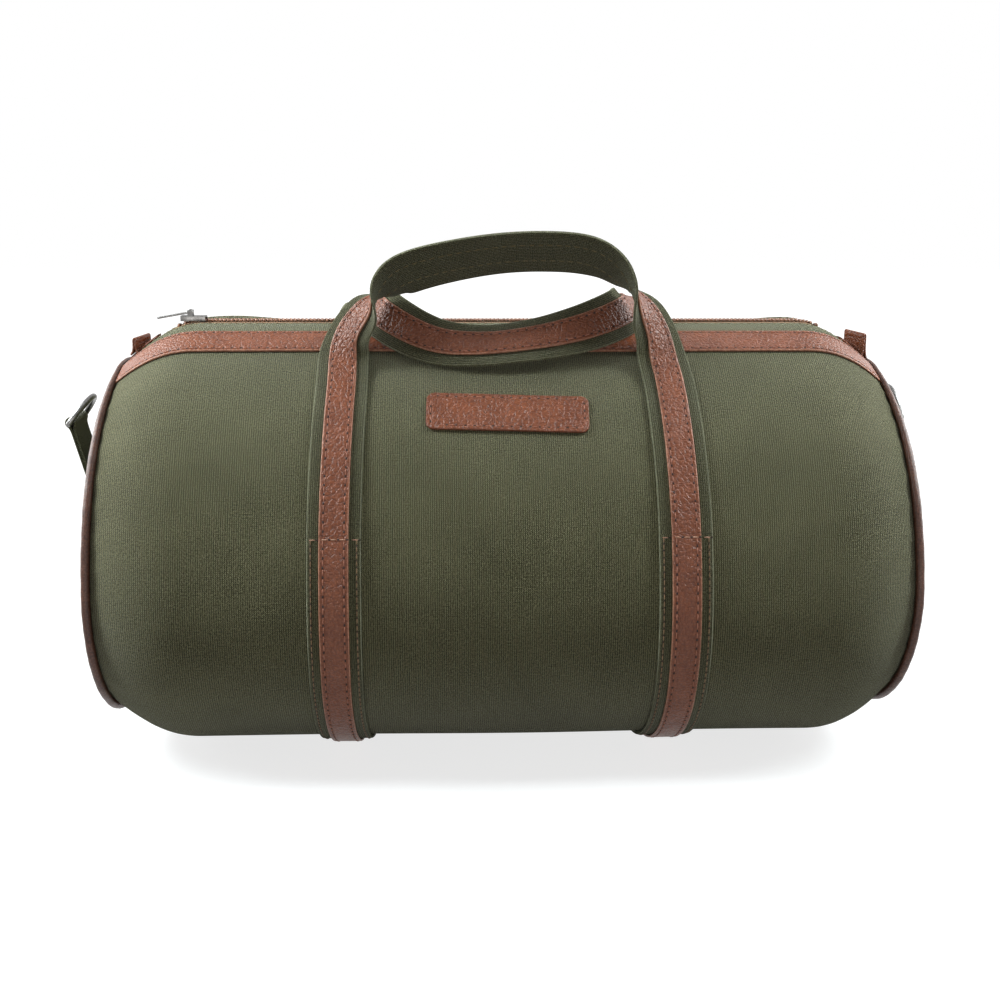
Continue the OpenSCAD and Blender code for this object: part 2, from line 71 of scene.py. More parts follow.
# arc distances from the middle of the base
baseArc = baseHalf + bag.baseRadius * turnA
sideArc = baseArc + bag.sideRadius * sideTurn
fullArc = sideArc + bag.topRadius * (math.pi - turnB)


def ease(f):
    f = np.clip(f, 0, 1)
    return f * f * (3 - 2 * f)


def endWay(x):
    return np.maximum(np.abs(x) - straight, 0) / bag.endRound


def insetAt(x, turn):
    deg = np.degrees(turn)
    top = bag.topDraw * ease((deg - bag.topDrawFrom) / bag.drawSpan)
    base = bag.baseDraw * ease((bag.baseDrawFrom - deg) / bag.drawSpan)
    return bag.rimInset * endWay(x) ** 2 * (1 + top + base)


def bySide(x, left, right):
    return np.where(x < 0, left, right)


# how far an end leans towards the middle at a height
def leanAt(x, z):
    level = (z - bag.lift) / bag.bodyHeight
    low = (np.maximum(bag.lowBelow - level, 0) / bag.leanSpan) ** bag.lowPower
    low = bySide(x, bag.leftBaseLean, bag.rightBaseLean) * low
    high = bag.topLean * (np.maximum(level - bag.highAbove, 0) / bag.leanSpan) ** bag.highPower
    return endWay(x) ** 2 * (low + high + bySide(x, bag.leftDraw, bag.rightDraw))


def turnAt(v):
    a = np.abs(v)
    turn = (a - baseHalf) / bag.baseRadius
    turn = np.where(a > baseArc, turnA + (a - baseArc) / bag.sideRadius, turn)
    turn = np.where(a > sideArc, turnB + (a - sideArc) / bag.topRadius, turn)
    return np.maximum(turn, 0)


# slow waves and end puckers that keep the canvas from looking turned on a lathe
cloth = settings(wave=0.55, sink=0.6, baseReach=60, calmFrom=30, calmOver=60, pucker=0.5, puckerPitch=19,
                 puckerReach=15, bend=1.3, bendPitch=31)
waves = [(seed.uniform(0.008, 0.03), seed.uniform(0.008, 0.035), seed.uniform(0, 6.28), seed.uniform(0, 6.28))
         for k in range(6)]


def softAt(x, v):
    # the mouth stays true
    calm = np.clip((fullArc - np.abs(v) - cloth.calmFrom) / cloth.calmOver, 0, 1)
    swell = sum(np.sin(fx * x + px) * np.sin(fv * v + pv) for fx, fv, px, pv in waves) / 2
    near = np.exp(-np.maximum(halfLength - np.abs(x), 0) / cloth.puckerReach)
    bend = cloth.bend * np.sin(v / cloth.bendPitch)
    ripple = np.sin(2 * math.pi * v / cloth.puckerPitch + bend)
    base = np.exp(-(np.abs(v) / cloth.baseReach) ** 4)
    wave = cloth.wave * (swell - cloth.sink) * (1 - base)
    return calm * (wave + cloth.pucker * near * (ripple - 1))


# the rear side stands a little proud of the zip near both ends
hump = settings(leftRise=3.5, leftAt=178, leftReach=34, rightRise=2.6, rightAt=190, rightReach=22, near=4,
                nearOver=8, far=60, farOver=36)


def humpAt(x, v):
    tall = bySide(x, hump.leftRise, hump.rightRise)
    at = bySide(x, hump.leftAt, hump.rightAt)
    reach = bySide(x, hump.leftReach, hump.rightReach)
    s = fullArc - v
    along = np.exp(-((np.abs(x) - at) / reach) ** 2)
    rising = ease((s - hump.near) / hump.nearOver)
    return np.where(v > 0, tall * along * rising * ease((hump.far - s) / hump.farOver), 0)


def skinAt(x, v, off, soft=True):
    x, v, off = np.broadcast_arrays(np.asarray(x, float), np.asarray(v, float), np.asarray(off, float))
    turn = turnAt(v)
    a = np.abs(v)
    cy = np.where(a > sideArc, 0, np.where(a > baseArc, sideY, np.minimum(a, baseHalf)))
    cz = np.where(a > sideArc, topCentre, np.where(a > baseArc, sideZ, bag.baseRadius))
    r = np.where(a > sideArc, bag.topRadius, np.where(a > baseArc, bag.sideRadius, bag.baseRadius))
    rim = r - insetAt(x, turn)
    r = rim + off + humpAt(x, v) + (softAt(x, v) if soft else 0)
    y = np.sign(v) * (cy + r * np.sin(turn))
    lean = np.sign(x) * leanAt(x, bag.lift + cz - rim * np.cos(turn))
    return np.stack([x - lean, y, bag.lift + cz - r * np.cos(turn)], -1)


# arc place at a distance from the zip
def atTop(s):
    return fullArc - s


def arcAtHeight(z):
    turn = math.acos((bag.lift + sideZ - z) / bag.sideRadius)
    return baseArc + (turn - turnA) * bag.sideRadius


def skinNormal(v):
    turn = turnAt(v)
    return np.stack(np.broadcast_arrays(0 * turn, np.sign(v) * np.sin(turn), -np.cos(turn)), -1)


# steps along the bag, closer at the rounded ends
def bagSteps(endCount, midCount):
    return np.concatenate([np.linspace(-bag.canvasEnd, -straight, endCount),
                           np.linspace(-straight, straight, midCount)[1:-1],
                           np.linspace(straight, bag.canvasEnd, endCount)])


# path helpers
def unit(vectors):
    return vectors / np.linalg.norm(vectors, axis=1)[:, None]


def runAlong(points):
    return np.concatenate([[0], np.cumsum(np.linalg.norm(np.diff(points, axis=0), axis=1))])


def easeLine(line, turns):
    for k in range(turns):
        line[1:-1] = (line[:-2] + 2 * line[1:-1] + line[2:]) / 4
    return line


def outwardOf(line):
    tangent = unit(np.gradient(line, axis=0))
    return np.stack([tangent[:, 1], -tangent[:, 0]], -1)


# mesh helpers
def gridFaces(rows, m, loop=False, skip=None):
    faces = []
    for k in range(rows if loop else rows - 1):
        if k != skip:
            q = (k + 1) % rows
            faces += [[k * m + i, k * m + (i + 1) % m, q * m + (i + 1) % m, q * m + i] for i in range(m)]
    return faces


def linkObject(name, data):
    obj = bpy.data.objects.new(name, data)
    bpy.context.scene.collection.objects.link(obj)
    return obj


def makeObject(name, points, faces, material, uv=None):
    mesh = bpy.data.meshes.new(name)
    mesh.from_pydata((np.asarray(points, float) * mm).tolist(), [], faces)
    mesh.materials.append(material)
    mesh.polygons.foreach_set("use_smooth", [True] * len(mesh.polygons))
    if uv is not None:
        layer = mesh.uv_layers.new(name="cloth")
        loops = np.zeros(len(mesh.loops), int)
        mesh.loops.foreach_get("vertex_index", loops)
        layer.data.foreach_set("uv", (np.asarray(uv, float) * mm)[loops].ravel())
    mesh.validate()
    mesh.update()
    return linkObject(name, mesh)


def finishPiece(obj, slot, *nodes, body="bag"):
    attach(obj, body)
    if nodes:
        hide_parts(*nodes)
    return obj


# outline of a strip: top from one side to the other, then back below
trim = settings(edgeCount=5, grooveStep=0.45, grooveWidth=0.6, grooveDepth=0.25, lobeIn=0.45, lobeNear=0.05)


def stripProfile(width, low, high, edge=0.6, groove=None, depth=trim.grooveDepth, across=11, lobes=False):
    half = width / 2
    mid = (low + high) / 2
    r = min(edge, (high - low) / 2)
    arc = np.linspace(0, math.pi / 2, trim.edgeCount)
    sideA = -half + r - r * np.cos(arc)
    sideH = (high - r) + r * np.sin(arc)
    flat = np.linspace(-half + r, half - r, across)[1:-1]
    if groove:
        extra = np.array([groove * k + d * trim.grooveStep for k in (-1, 1) for d in range(-2, 3)])
        extra = extra[np.abs(extra) < half - r]
        flat = np.unique(np.round(np.concatenate([flat, extra]), 3))
    a = np.concatenate([[-half], sideA, flat, -sideA[::-1], [half]])
    h = np.concatenate([[mid], sideH, np.full(len(flat), high), sideH[::-1], [mid]])
    top = h
    if groove:
        top = h - depth * np.exp(-((np.abs(a) - groove) / trim.grooveWidth) ** 2)
    under = 2 * mid - h
    if lobes:  # two folded layers show along the edge
        side = np.abs(a) > half - trim.lobeNear
        a = np.where(side, a * (half - trim.lobeIn) / half, a)
    return np.stack([np.concatenate([a, a[::-1]]), np.concatenate([top, under[::-1]])], -1)


# sweeps an outline along u, with placeAt giving points for u, across and height
def sweep(name, us, profile, placeAt, material, lengths=None, ribsAcross=False, closed=False, edge=None):
    us = np.asarray(us, float)
    m, n = len(profile), len(us)
    grid = placeAt(us[:, None], profile[None, :, 0], profile[None, :, 1])
    faces = gridFaces(n, m, closed)
    sides = len(faces)
    points = grid.reshape(-1, 3)
    if not closed:  # caps have points of their own, so that they leave the shading of the sides alone
        a, e = n * m, (n + 1) * m
        points = np.concatenate([points, grid[0], grid[-1]])
        for c in range(m // 2 - 1):
            o = m - 1 - c
            faces.append([a + c, a + o, a + o - 1, a + c + 1])
            faces.append([e + c, e + c + 1, e + o - 1, e + o])
    along = us if lengths is None else np.asarray(lengths, float)
    run = runAlong(profile)
    side = run - run.mean()
    uv = np.stack(np.broadcast_arrays(along[:, None], side[None, :]), -1).reshape(-1, 2)
    if not closed:
        uv = np.concatenate([uv, uv[:m], uv[-m:]])
    if ribsAcross:
        uv = uv[:, ::-1]
    obj = makeObject(name, points, faces, material, uv)
    if edge:  # the last stretch beside each side takes a paler material, a painted highlight along the rounded edges
        pale, reach = edge
        obj.data.materials.append(pale)
        outer = np.abs(profile[:, 0]) > np.abs(profile[:, 0]).max() - reach
        marks = np.zeros(len(obj.data.polygons), int)
        marks[:sides] = np.tile(outer & np.roll(outer, -1), sides // m)
        obj.data.polygons.foreach_set("material_index", marks)
    return obj


# thread stitches, each a short bowed run that dives in at both ends
stitch = settings(pitch=5.6, run=3.7, radius=0.36, bow=0.34, sink=0.12, reach=0.4, hole=1.5, holeWidth=0.5,
                  holeBow=0.1, holeLift=0.06, holeSquash=0.25)
bead = settings(sections=(-0.5, -0.36, 0, 0.36, 0.5), thick=(0.35, 0.9, 1, 0.9, 0.35), sunk=0.55)


def rowPlaces(path, normals, pitch=stitch.pitch):
    path, normals = np.asarray(path, float), np.asarray(normals, float)
    dist = runAlong(path)
    count = max(1, int(dist[-1] / pitch))
    at = (dist[-1] - count * pitch) / 2 + pitch * (np.arange(count) + 0.5)
    pick = lambda d, q: np.stack([np.interp(d, dist, q[:, c]) for c in range(3)], -1)
    mids = pick(at, path)
    ahead = unit(pick(at + stitch.reach, path) - pick(at - stitch.reach, path))
    up = pick(at, normals)
    return mids, ahead, unit(up - (up * ahead).sum(1)[:, None] * ahead)


def beads(name, rows, material, run, radius, bow, shift=0.0, lift=0.0, sides=6, squash=1.0):
    mids, ahead, up = (np.concatenate(q) for q in zip(*rows))
    across = np.cross(ahead, up)
    mids = mids + shift * ahead + lift * up
    sections = np.array(bead.sections)
    thick = (np.array(bead.thick) * radius)[None, :, None, None]
    high = bow * (1 - (sections / 0.5) ** 2) - bow * bead.sunk
    turn = (np.arange(sides) * 2 * math.pi / sides)[None, None, :, None]
    ring = (mids[:, None, None] + ahead[:, None, None] * (sections * run)[None, :, None, None]
            + up[:, None, None] * (high[None, :, None, None] + squash * thick * np.sin(turn))
            + across[:, None, None] * thick * np.cos(turn))
    rows = len(sections)
    caps = [list(range(sides))[::-1], [(rows - 1) * sides + i for i in range(sides)]]
    first = (np.arange(len(mids)) * rows * sides)[:, None, None]
    quads = (np.array(gridFaces(rows, sides))[None] + first).reshape(-1, 4).tolist()
    ends = (np.array(caps)[None] + first).reshape(-1, sides).tolist()
    return makeObject(name, ring.reshape(-1, 3), quads + ends, material)


def sew(name, rows, thread, seam):
    return beads(name, rows, thread, seam.run, seam.radius, seam.bow)


def stitchBeads(name, rows, thread):
    sewn = sew(name + "Thread", rows, thread, stitch)
    # each needle hole is a flat dark bead between stitches: painted shade in the hole
    holeShades = beads(name + "HoleShades", rows, needleHoleShade, stitch.hole, stitch.holeWidth, stitch.holeBow,
                  stitch.pitch / 2, stitch.holeLift, squash=stitch.holeSquash)
    return sewn, holeShades


def stitchPieces(name, rows, slot, thread=None):
    for obj in stitchBeads(name, rows, thread or leatherThread):
        finishPiece(obj, slot)


# materials
def setNode(node, **values):
    for key, value in values.items():
        if hasattr(node, key):
            setattr(node, key, value)
        else:
            node.inputs[key.replace("_", " ")].default_value = value
    return node


def newMaterial(name, colour, roughness=0.7):
    mat = bpy.data.materials.new(name)
    mat.use_nodes = True
    shader = mat.node_tree.nodes["Principled BSDF"]
    setNode(shader, Base_Color=(*colour, 1), Roughness=roughness)
    return mat, mat.node_tree.nodes, mat.node_tree.links, shader


def addNode(nodes, kind, **values):
    return setNode(nodes.new(kind), **values)


def mathNode(nodes, links, how, a, b=None):
    node = nodes.new("ShaderNodeMath")
    node.operation = how
    for socket, value in ((0, a), (1, b)):
        if value is None:
            continue
        if isinstance(value, (int, float)):
            node.inputs[socket].default_value = value
        else:
            links.new(value, node.inputs[socket])
    return node.outputs[0]


def rampNode(nodes, links, source, stops):
    ramp = nodes.new("ShaderNodeValToRGB")
    links.new(source, ramp.inputs[0])
    while len(ramp.color_ramp.elements) < len(stops):
        ramp.color_ramp.elements.new(0.5)
    for element, (place, colour) in zip(ramp.color_ramp.elements, stops):
        element.position = place
        element.color = (*colour, 1)
    return ramp.outputs[0]


def noiseNode(nodes, links, place, scale, detail, roughness=0.5):
    node = addNode(nodes, "ShaderNodeTexNoise", Scale=scale, Detail=detail, Roughness=roughness)
    links.new(place, node.inputs["Vector"])
    return node


def addRelief(nodes, links, shader, height, bump, distance, invert=False):
    relief = addNode(nodes, "ShaderNodeBump", Strength=bump, Distance=distance, invert=invert)
    links.new(height, relief.inputs["Height"])
    links.new(relief.outputs[0], shader.inputs["Normal"])


weave = settings(roughness=0.92, wobbleScale=260.0, wobble=2.6, slubScale=1000.0, slub=2.5, rib=0.26,
                 knot=0.34, patchScale=22.0, patch=0.3, dark=0.15, mid=0.5, light=0.86, relief=0.0005,
                 sheenRoughness=0.5, sheenTint=(0.93, 0.95, 0.82, 1), gloss=0.1)


def canvasMaterial(name, dark, mid, light, ribPitch=1.3, weftPitch=1.15, bump=0.85, sheen=0.25):
    mat, nodes, links, shader = newMaterial(name, mid, weave.roughness)
    place = nodes.new("ShaderNodeTexCoord").outputs["UV"]
    calc = lambda how, a, b=None: mathNode(nodes, links, how, a, b)
    split = nodes.new("ShaderNodeSeparateXYZ")
    links.new(place, split.inputs[0])
    wobble = noiseNode(nodes, links, place, weave.wobbleScale, 2.0)
    drift = calc("MULTIPLY", calc("SUBTRACT", wobble.outputs[0], 0.5), weave.wobble)

    def threads(axis, pitch):
        phase = calc("MULTIPLY", split.outputs[axis], 2 * math.pi / (pitch * mm))
        return calc("SINE", calc("ADD", phase, drift))

    rib, weft = threads(0, ribPitch), threads(1, weftPitch)
    knot = calc("MULTIPLY", rib, weft)
    slub = noiseNode(nodes, links, place, weave.slubScale, 3.0, 0.75)
    grain = calc("MULTIPLY", calc("SUBTRACT", slub.outputs[0], 0.5), weave.slub)
    height = calc("ADD", calc("MULTIPLY", rib, weave.rib), calc("MULTIPLY", knot, weave.knot))
    height = calc("ADD", calc("ADD", height, grain), 0.5)
    patch = noiseNode(nodes, links, place, weave.patchScale, 4.0, 0.6)
    tone = calc("ADD", height, calc("MULTIPLY", patch.outputs[0], weave.patch))
    tone = calc("SUBTRACT", tone, weave.patch / 2)
    stops = [(weave.dark, dark), (weave.mid, mid), (weave.light, light)]
    links.new(rampNode(nodes, links, tone, stops), shader.inputs["Base Color"])
    addRelief(nodes, links, shader, height, bump, weave.relief)
    setNode(shader, Sheen_Weight=sheen, Sheen_Roughness=weave.sheenRoughness, Sheen_Tint=weave.sheenTint,
            Specular_IOR_Level=weave.gloss)
    return mat


hide = settings(bendScale=0.6, bend=0.0016, patchScale=70.0, cells=0.5, patch=0.75, light=0.3, mid=0.58,
                dark=0.9, roughPatch=0.22, creaseScale=0.5, creaseSharp=7.0, crease=0.7, relief=0.0005,
                gloss=0.34)


def leatherMaterial(name, dark, mid, light, grain=620.0, bump=0.5, roughness=0.46):
    mat, nodes, links, shader = newMaterial(name, mid, roughness)
    place = nodes.new("ShaderNodeTexCoord").outputs["Object"]
    calc = lambda how, a, b=None: mathNode(nodes, links, how, a, b)
    bend = noiseNode(nodes, links, place, grain * hide.bendScale, 3.0)
    mix = nodes.new("ShaderNodeMix")
    mix.data_type = "VECTOR"
    mix.inputs[0].default_value = hide.bend
    links.new(place, mix.inputs[4])
    links.new(bend.outputs["Color"], mix.inputs[5])

    def cellNode(scale, feature):
        node = addNode(nodes, "ShaderNodeTexVoronoi", Scale=scale, feature=feature)
        links.new(mix.outputs[1], node.inputs["Vector"])
        return node.outputs["Distance"]

    cells = cellNode(grain, "F1")
    patch = noiseNode(nodes, links, place, hide.patchScale, 5.0, 0.65).outputs[0]
    tone = calc("ADD", calc("MULTIPLY", cells, hide.cells), calc("MULTIPLY", patch, hide.patch))
    stops = [(hide.light, light), (hide.mid, mid), (hide.dark, dark)]
    links.new(rampNode(nodes, links, tone, stops), shader.inputs["Base Color"])
    rough = calc("MULTIPLY", patch, hide.roughPatch)
    links.new(calc("ADD", rough, roughness - hide.roughPatch / 2), shader.inputs["Roughness"])
    crease = cellNode(grain * hide.creaseScale, "DISTANCE_TO_EDGE")
    line = calc("MINIMUM", calc("MULTIPLY", crease, hide.creaseSharp), 1.0)
    height = calc("SUBTRACT", cells, calc("MULTIPLY", line, hide.crease))
    addRelief(nodes, links, shader, height, bump, hide.relief, True)
    setNode(shader, Specular_IOR_Level=hide.gloss)
    return mat


def plainMaterial(name, dark, light, scale=180.0, roughness=0.7, bump=0.15, metallic=0.0):
    mat, nodes, links, shader = newMaterial(name, light, roughness)
    place = nodes.new("ShaderNodeTexCoord").outputs["Object"]
    patch = noiseNode(nodes, links, place, scale, 4.0).outputs[0]
    links.new(rampNode(nodes, links, patch, [(0.3, dark), (0.7, light)]), shader.inputs["Base Color"])
    addRelief(nodes, links, shader, patch, bump, 0.0003)
    setNode(shader, Metallic=metallic)
    return mat


oliveCanvas = canvasMaterial("oliveCanvas", (0.015, 0.0142, 0.0055), (0.076, 0.071, 0.033),
                             (0.20, 0.19, 0.104))
strapCanvas = canvasMaterial("strapCanvas", (0.015, 0.0145, 0.006), (0.058, 0.055, 0.025),
                             (0.145, 0.14, 0.078), ribPitch=1.2, weftPitch=1.1)
# paler canvas for the rounded edges of straps and handles: a painted highlight
highlitEdgeCanvas = canvasMaterial("highlitEdgeCanvas", (0.07, 0.07, 0.035), (0.15, 0.148, 0.088), (0.26, 0.255, 0.165),
                            ribPitch=1.2, weftPitch=1.1)
liningCloth = canvasMaterial("liningCloth", (0.12, 0.10, 0.07), (0.20, 0.17, 0.125), (0.28, 0.24, 0.18),
                             ribPitch=0.8, weftPitch=0.8, bump=0.2, sheen=0.1)
zipCloth = canvasMaterial("zipCloth", (0.12, 0.06, 0.03), (0.22, 0.115, 0.062), (0.34, 0.2, 0.12),
                          ribPitch=1.6, weftPitch=0.7, bump=0.3, sheen=0.1)
tanLeather = leatherMaterial("tanLeather", (0.103, 0.025, 0.008), (0.163, 0.044, 0.015),
                             (0.24, 0.07, 0.027), bump=0.8, roughness=0.4)
# paler leather for the rounded edges of the leather strips: a painted highlight
highlitEdgeLeather = leatherMaterial("highlitEdgeLeather", (0.17, 0.065, 0.035), (0.30, 0.13, 0.075),
                              (0.42, 0.21, 0.135), bump=0.4)
darkLeather = leatherMaterial("darkLeather", (0.032, 0.012, 0.007), (0.075, 0.028, 0.016),
                              (0.13, 0.055, 0.035), grain=800.0, bump=0.3, roughness=0.42)
leatherThread = plainMaterial("leatherThread", (0.20, 0.07, 0.038), (0.33, 0.125, 0.072), 900.0, 0.6)
seamThread = plainMaterial("seamThread", (0.10, 0.055, 0.024), (0.26, 0.16, 0.078), 900.0, 0.65)
paleThread = plainMaterial("paleThread", (0.30, 0.15, 0.09), (0.50, 0.29, 0.19), 900.0, 0.65)
oliveThread = plainMaterial("oliveThread", (0.11, 0.085, 0.036), (0.2, 0.155, 0.075), 900.0, 0.7)
# near-black for the needle holes: painted shade
needleHoleShade = plainMaterial("needleHoleShade", (0.012, 0.006, 0.004), (0.03, 0.014, 0.009), 900.0, 0.9)
zipCoil = plainMaterial("zipCoil", (0.15, 0.062, 0.032), (0.29, 0.13, 0.07), 400.0, 0.35)
gunMetal = plainMaterial("gunMetal", (0.10, 0.097, 0.094), (0.22, 0.215, 0.21), 500.0, 0.3, 0.08, 1.0)
boardGrey = plainMaterial("boardGrey", (0.03, 0.029, 0.027), (0.06, 0.057, 0.053), 300.0, 0.8)
# paler edge material and its reach in mm from each side: painted highlight along the rounded strip edges
leatherEdgeHighlight = (highlitEdgeLeather, 0.75)
canvasEdgeHighlight = (highlitEdgeCanvas, 1.0)
bothEnds = (("left", -1), ("right", 1))
bothFaces = (("front", -1), ("rear", 1))
print("materials ready")

# main panel and lining
panel = settings(endCount=24, midCount=70, across=190, liningOut=-2.7, liningLow=-3.7, liningAcross=120)
mouth = settings(lipWidth=29, gap=0.3)
openArc = atTop(mouth.lipWidth + mouth.gap)
endSteps = bagSteps(panel.endCount, panel.midCount)


def panelProfile(out, low, count):
    return np.concatenate([np.stack([np.linspace(-openArc, openArc, count), np.full(count, out)], -1),
                           np.stack([np.linspace(openArc, -openArc, count), np.full(count, low)], -1)])


mainPanel = sweep("mainPanel", endSteps, panelProfile(0, -bag.skin, panel.across), skinAt, oliveCanvas)
finishPiece(mainPanel, "canvas", "main_panel")
liningProfile = panelProfile(panel.liningOut, panel.liningLow, panel.liningAcross)
lining = sweep("lining", endSteps[::2], liningProfile, skinAt, liningCloth)
finishPiece(lining, "lining", "lining")
print("main panel and lining made")

# end panels: domed canvas, drawn in a little by the piping's seam
endPanel = settings(rings=26, around=200, midHeight=132.1, tuck=0.6, gap=0.3, ringPower=1.4, reach=0.985,
                    domePower=2.3, wrinkle=4.2, foldPitch=5.3, foldSway=2, swayPitch=23, foldFade=11)


def makeEnd(word, side):
    n, m = endPanel.rings, endPanel.around
    v = np.linspace(-fullArc, fullArc, m, endpoint=False)
    rim = skinAt(side * bag.canvasEnd, v, -endPanel.tuck, soft=False)
    lean = bag.canvasEnd - side * rim[:, 0]
    f = (1 - np.linspace(0, 1, n) ** endPanel.ringPower * endPanel.reach)[:, None]
    ripple = np.sin(v / endPanel.foldPitch + endPanel.foldSway * np.sin(v / endPanel.swayPitch))
    fold = np.abs(endPanel.wrinkle * ripple * np.exp(-(1 - f) * endPanel.foldFade) * (1 - f))
    y = f * rim[:, 1]
    z = endPanel.midHeight + f * (rim[:, 2] - endPanel.midHeight)
    outer = bag.canvasEnd + endPanel.gap + bag.skin

    def layer(thick):
        x = outer - thick + bag.dome * (1 - f ** endPanel.domePower) - lean * f ** 2
        return np.stack(np.broadcast_arrays(side * (x - fold), y, z), -1)

    points = np.concatenate([layer(0), layer(bag.skin)[::-1]]).reshape(-1, 3)
    faces = gridFaces(2 * n, m, True, n - 1)
    faces.append([(n - 1) * m + i for i in range(m)])
    faces.append([n * m + i for i in range(m)][::-1])
    if side < 0:
        faces = [face[::-1] for face in faces]
    obj = makeObject(word + "End", points, faces, oliveCanvas, points[:, 1:])
    finishPiece(obj, "canvas", word + "_end_panel")


piping = settings(radius=2.7, out=3.0, x=250.9, around=260, sides=12, slim=0.3, slimFrom=115, slimOver=50,
                  uneven=0.05, longWave=7.0, shortWave=3.1)


def makePiping(word, side):
    v = np.linspace(-fullArc, fullArc, piping.around, endpoint=False)
    turn = np.arange(piping.sides) * 2 * math.pi / piping.sides
    ring = np.stack([np.cos(turn), np.sin(turn)], -1) * piping.radius

    def placeAt(u, c, s):
        slim = piping.slim * ease((np.degrees(turnAt(u)) - piping.slimFrom) / piping.slimOver)
        uneven = piping.uneven * np.sin(u / piping.longWave) * np.sin(u / piping.shortWave)
        swell = (1 + uneven) * (1 - slim)
        p = skinAt(side * piping.x, u, piping.out - slim * piping.radius + c * swell, soft=False)
        return np.stack(np.broadcast_arrays(p[..., 0] + side * s * swell, p[..., 1], p[..., 2]), -1)

    obj = sweep(word + "Piping", v, ring[::-side], placeAt, darkLeather, closed=True)
    finishPiece(obj, "dark_leather", word + "_piping")


for make in (makeEnd, makePiping):
    for word, side in bothEnds:
        make(word, side)
print("ends and piping made")

# leather bands beside the mouth
band = settings(width=24, low=0.3, high=1.9, edge=0.7, stitchIn=2.6, endCount=20, midCount=60, endGap=3,
                rowPoints=400)
bandSteps = bagSteps(band.endCount, band.midCount)
bandMid = atTop(mouth.lipWidth + mouth.gap + band.width / 2)
bandRow = band.width / 2 - band.stitchIn


def makeBand(word, side):
    profile = stripProfile(band.width, band.low, band.high, band.edge, bandRow)
    placeAt = lambda x, a, h: skinAt(x, side * (bandMid + a), h)
    obj = sweep(word + "Band", bandSteps, profile[::side], placeAt, tanLeather, edge=leatherEdgeHighlight)
    finishPiece(obj, "tan_leather", word + "_band")
    reach = bag.canvasEnd - band.endGap
    xs = np.linspace(-reach, reach, band.rowPoints)
    rows = []
    for k in (-1, 1):
        v = np.full(len(xs), side * (bandMid + k * bandRow))
        rows.append(rowPlaces(skinAt(xs, v, band.high - stitch.sink), skinNormal(v)))
    stitchPieces(word + "Band", rows, "tan_leather")


for word, side in bothFaces:
    makeBand(word, side)
print("leather bands made")

# straps sewn round the body
strap = settings(x=103.5, width=32, stripWidth=17.5, canvasLow=0.3, canvasHigh=2.7, leatherLow=3.0,
                 leatherHigh=4.6, canvasRound=1.2, leatherRound=0.7, sewnHeight=156, steps=150,
                 stitchIn=2.6, marginIn=2.6, marginPitch=4.2, marginLift=0.02, baseDrift=5, driftFrom=165,
                 rowPoints=500)
# the row across each strap where it leaves the body
cross = settings(inside=2.2, points=30, pitch=5.2, leather=16.4, leatherSink=0.05, side=12.4, sideRun=5.6,
                 sideLift=0.05)
sewnArc = arcAtHeight(strap.sewnHeight)
strapSteps = np.linspace(-sewnArc, sewnArc, strap.steps)
stripRow = strap.stripWidth / 2 - strap.stitchIn


def strapProfile(low, high):
    return stripProfile(strap.width, low, high, strap.canvasRound, lobes=True)


def leatherProfile(low, high):
    return stripProfile(strap.stripWidth, low, high, strap.leatherRound, stripRow)


def makeStrap(word, side):
    def across(v):  # the straps draw together a little towards the base
        drift = ease((strap.driftFrom - np.abs(v)) / strap.driftFrom)
        return side * (strap.x - strap.baseDrift * drift)

    def row(v, aside, height, pitch):
        return rowPlaces(skinAt(across(v) + aside, v, height), skinNormal(v), pitch)

    placeAt = lambda v, a, h: skinAt(across(v) + a, v, h)
    canvas = strapProfile(strap.canvasLow, strap.canvasHigh)[::-1]
    obj = sweep(word + "Strap", strapSteps, canvas, placeAt, strapCanvas, ribsAcross=True, edge=canvasEdgeHighlight)
    finishPiece(obj, "canvas", word + "_strap")
    leather = leatherProfile(strap.leatherLow, strap.leatherHigh)[::-1]
    obj = sweep(word + "StrapLeather", strapSteps, leather, placeAt, tanLeather, ribsAcross=True,
                edge=leatherEdgeHighlight)
    finishPiece(obj, "tan_leather", word + "_strap_leather")
    v = np.linspace(-sewnArc + 1, sewnArc - 1, strap.rowPoints)
    rows = [row(v, k * stripRow, strap.leatherHigh - stitch.sink, stitch.pitch) for k in (-1, 1)]
    stitchPieces(word + "StrapEdge", rows, "tan_leather")
    marginRow = strap.width / 2 - strap.marginIn
    height = strap.canvasHigh + strap.marginLift
    rows = [row(v, k * marginRow, height, strap.marginPitch) for k in (-1, 1)]
    stitchPieces(word + "StrapMargin", rows, "canvas", seamThread)
    rows, margin = [], []
    for end in (-1, 1):
        v = np.full(cross.points, end * (sewnArc - cross.inside))
        step = np.linspace(-0.5, 0.5, cross.points)
        height = strap.leatherHigh - cross.leatherSink
        rows.append(row(v, step * cross.leather, height, cross.pitch))
        for k in (-1, 1):
            aside = k * cross.side + step * cross.sideRun
            margin.append(row(v, aside, strap.canvasHigh + cross.sideLift, cross.pitch))
    stitchPieces(word + "CrossLeather", rows, "tan_leather", paleThread)
    stitchPieces(word + "CrossMargin", margin, "canvas", paleThread)


for word, side in bothEnds:
    makeStrap(word, side)
print("sewn straps made")

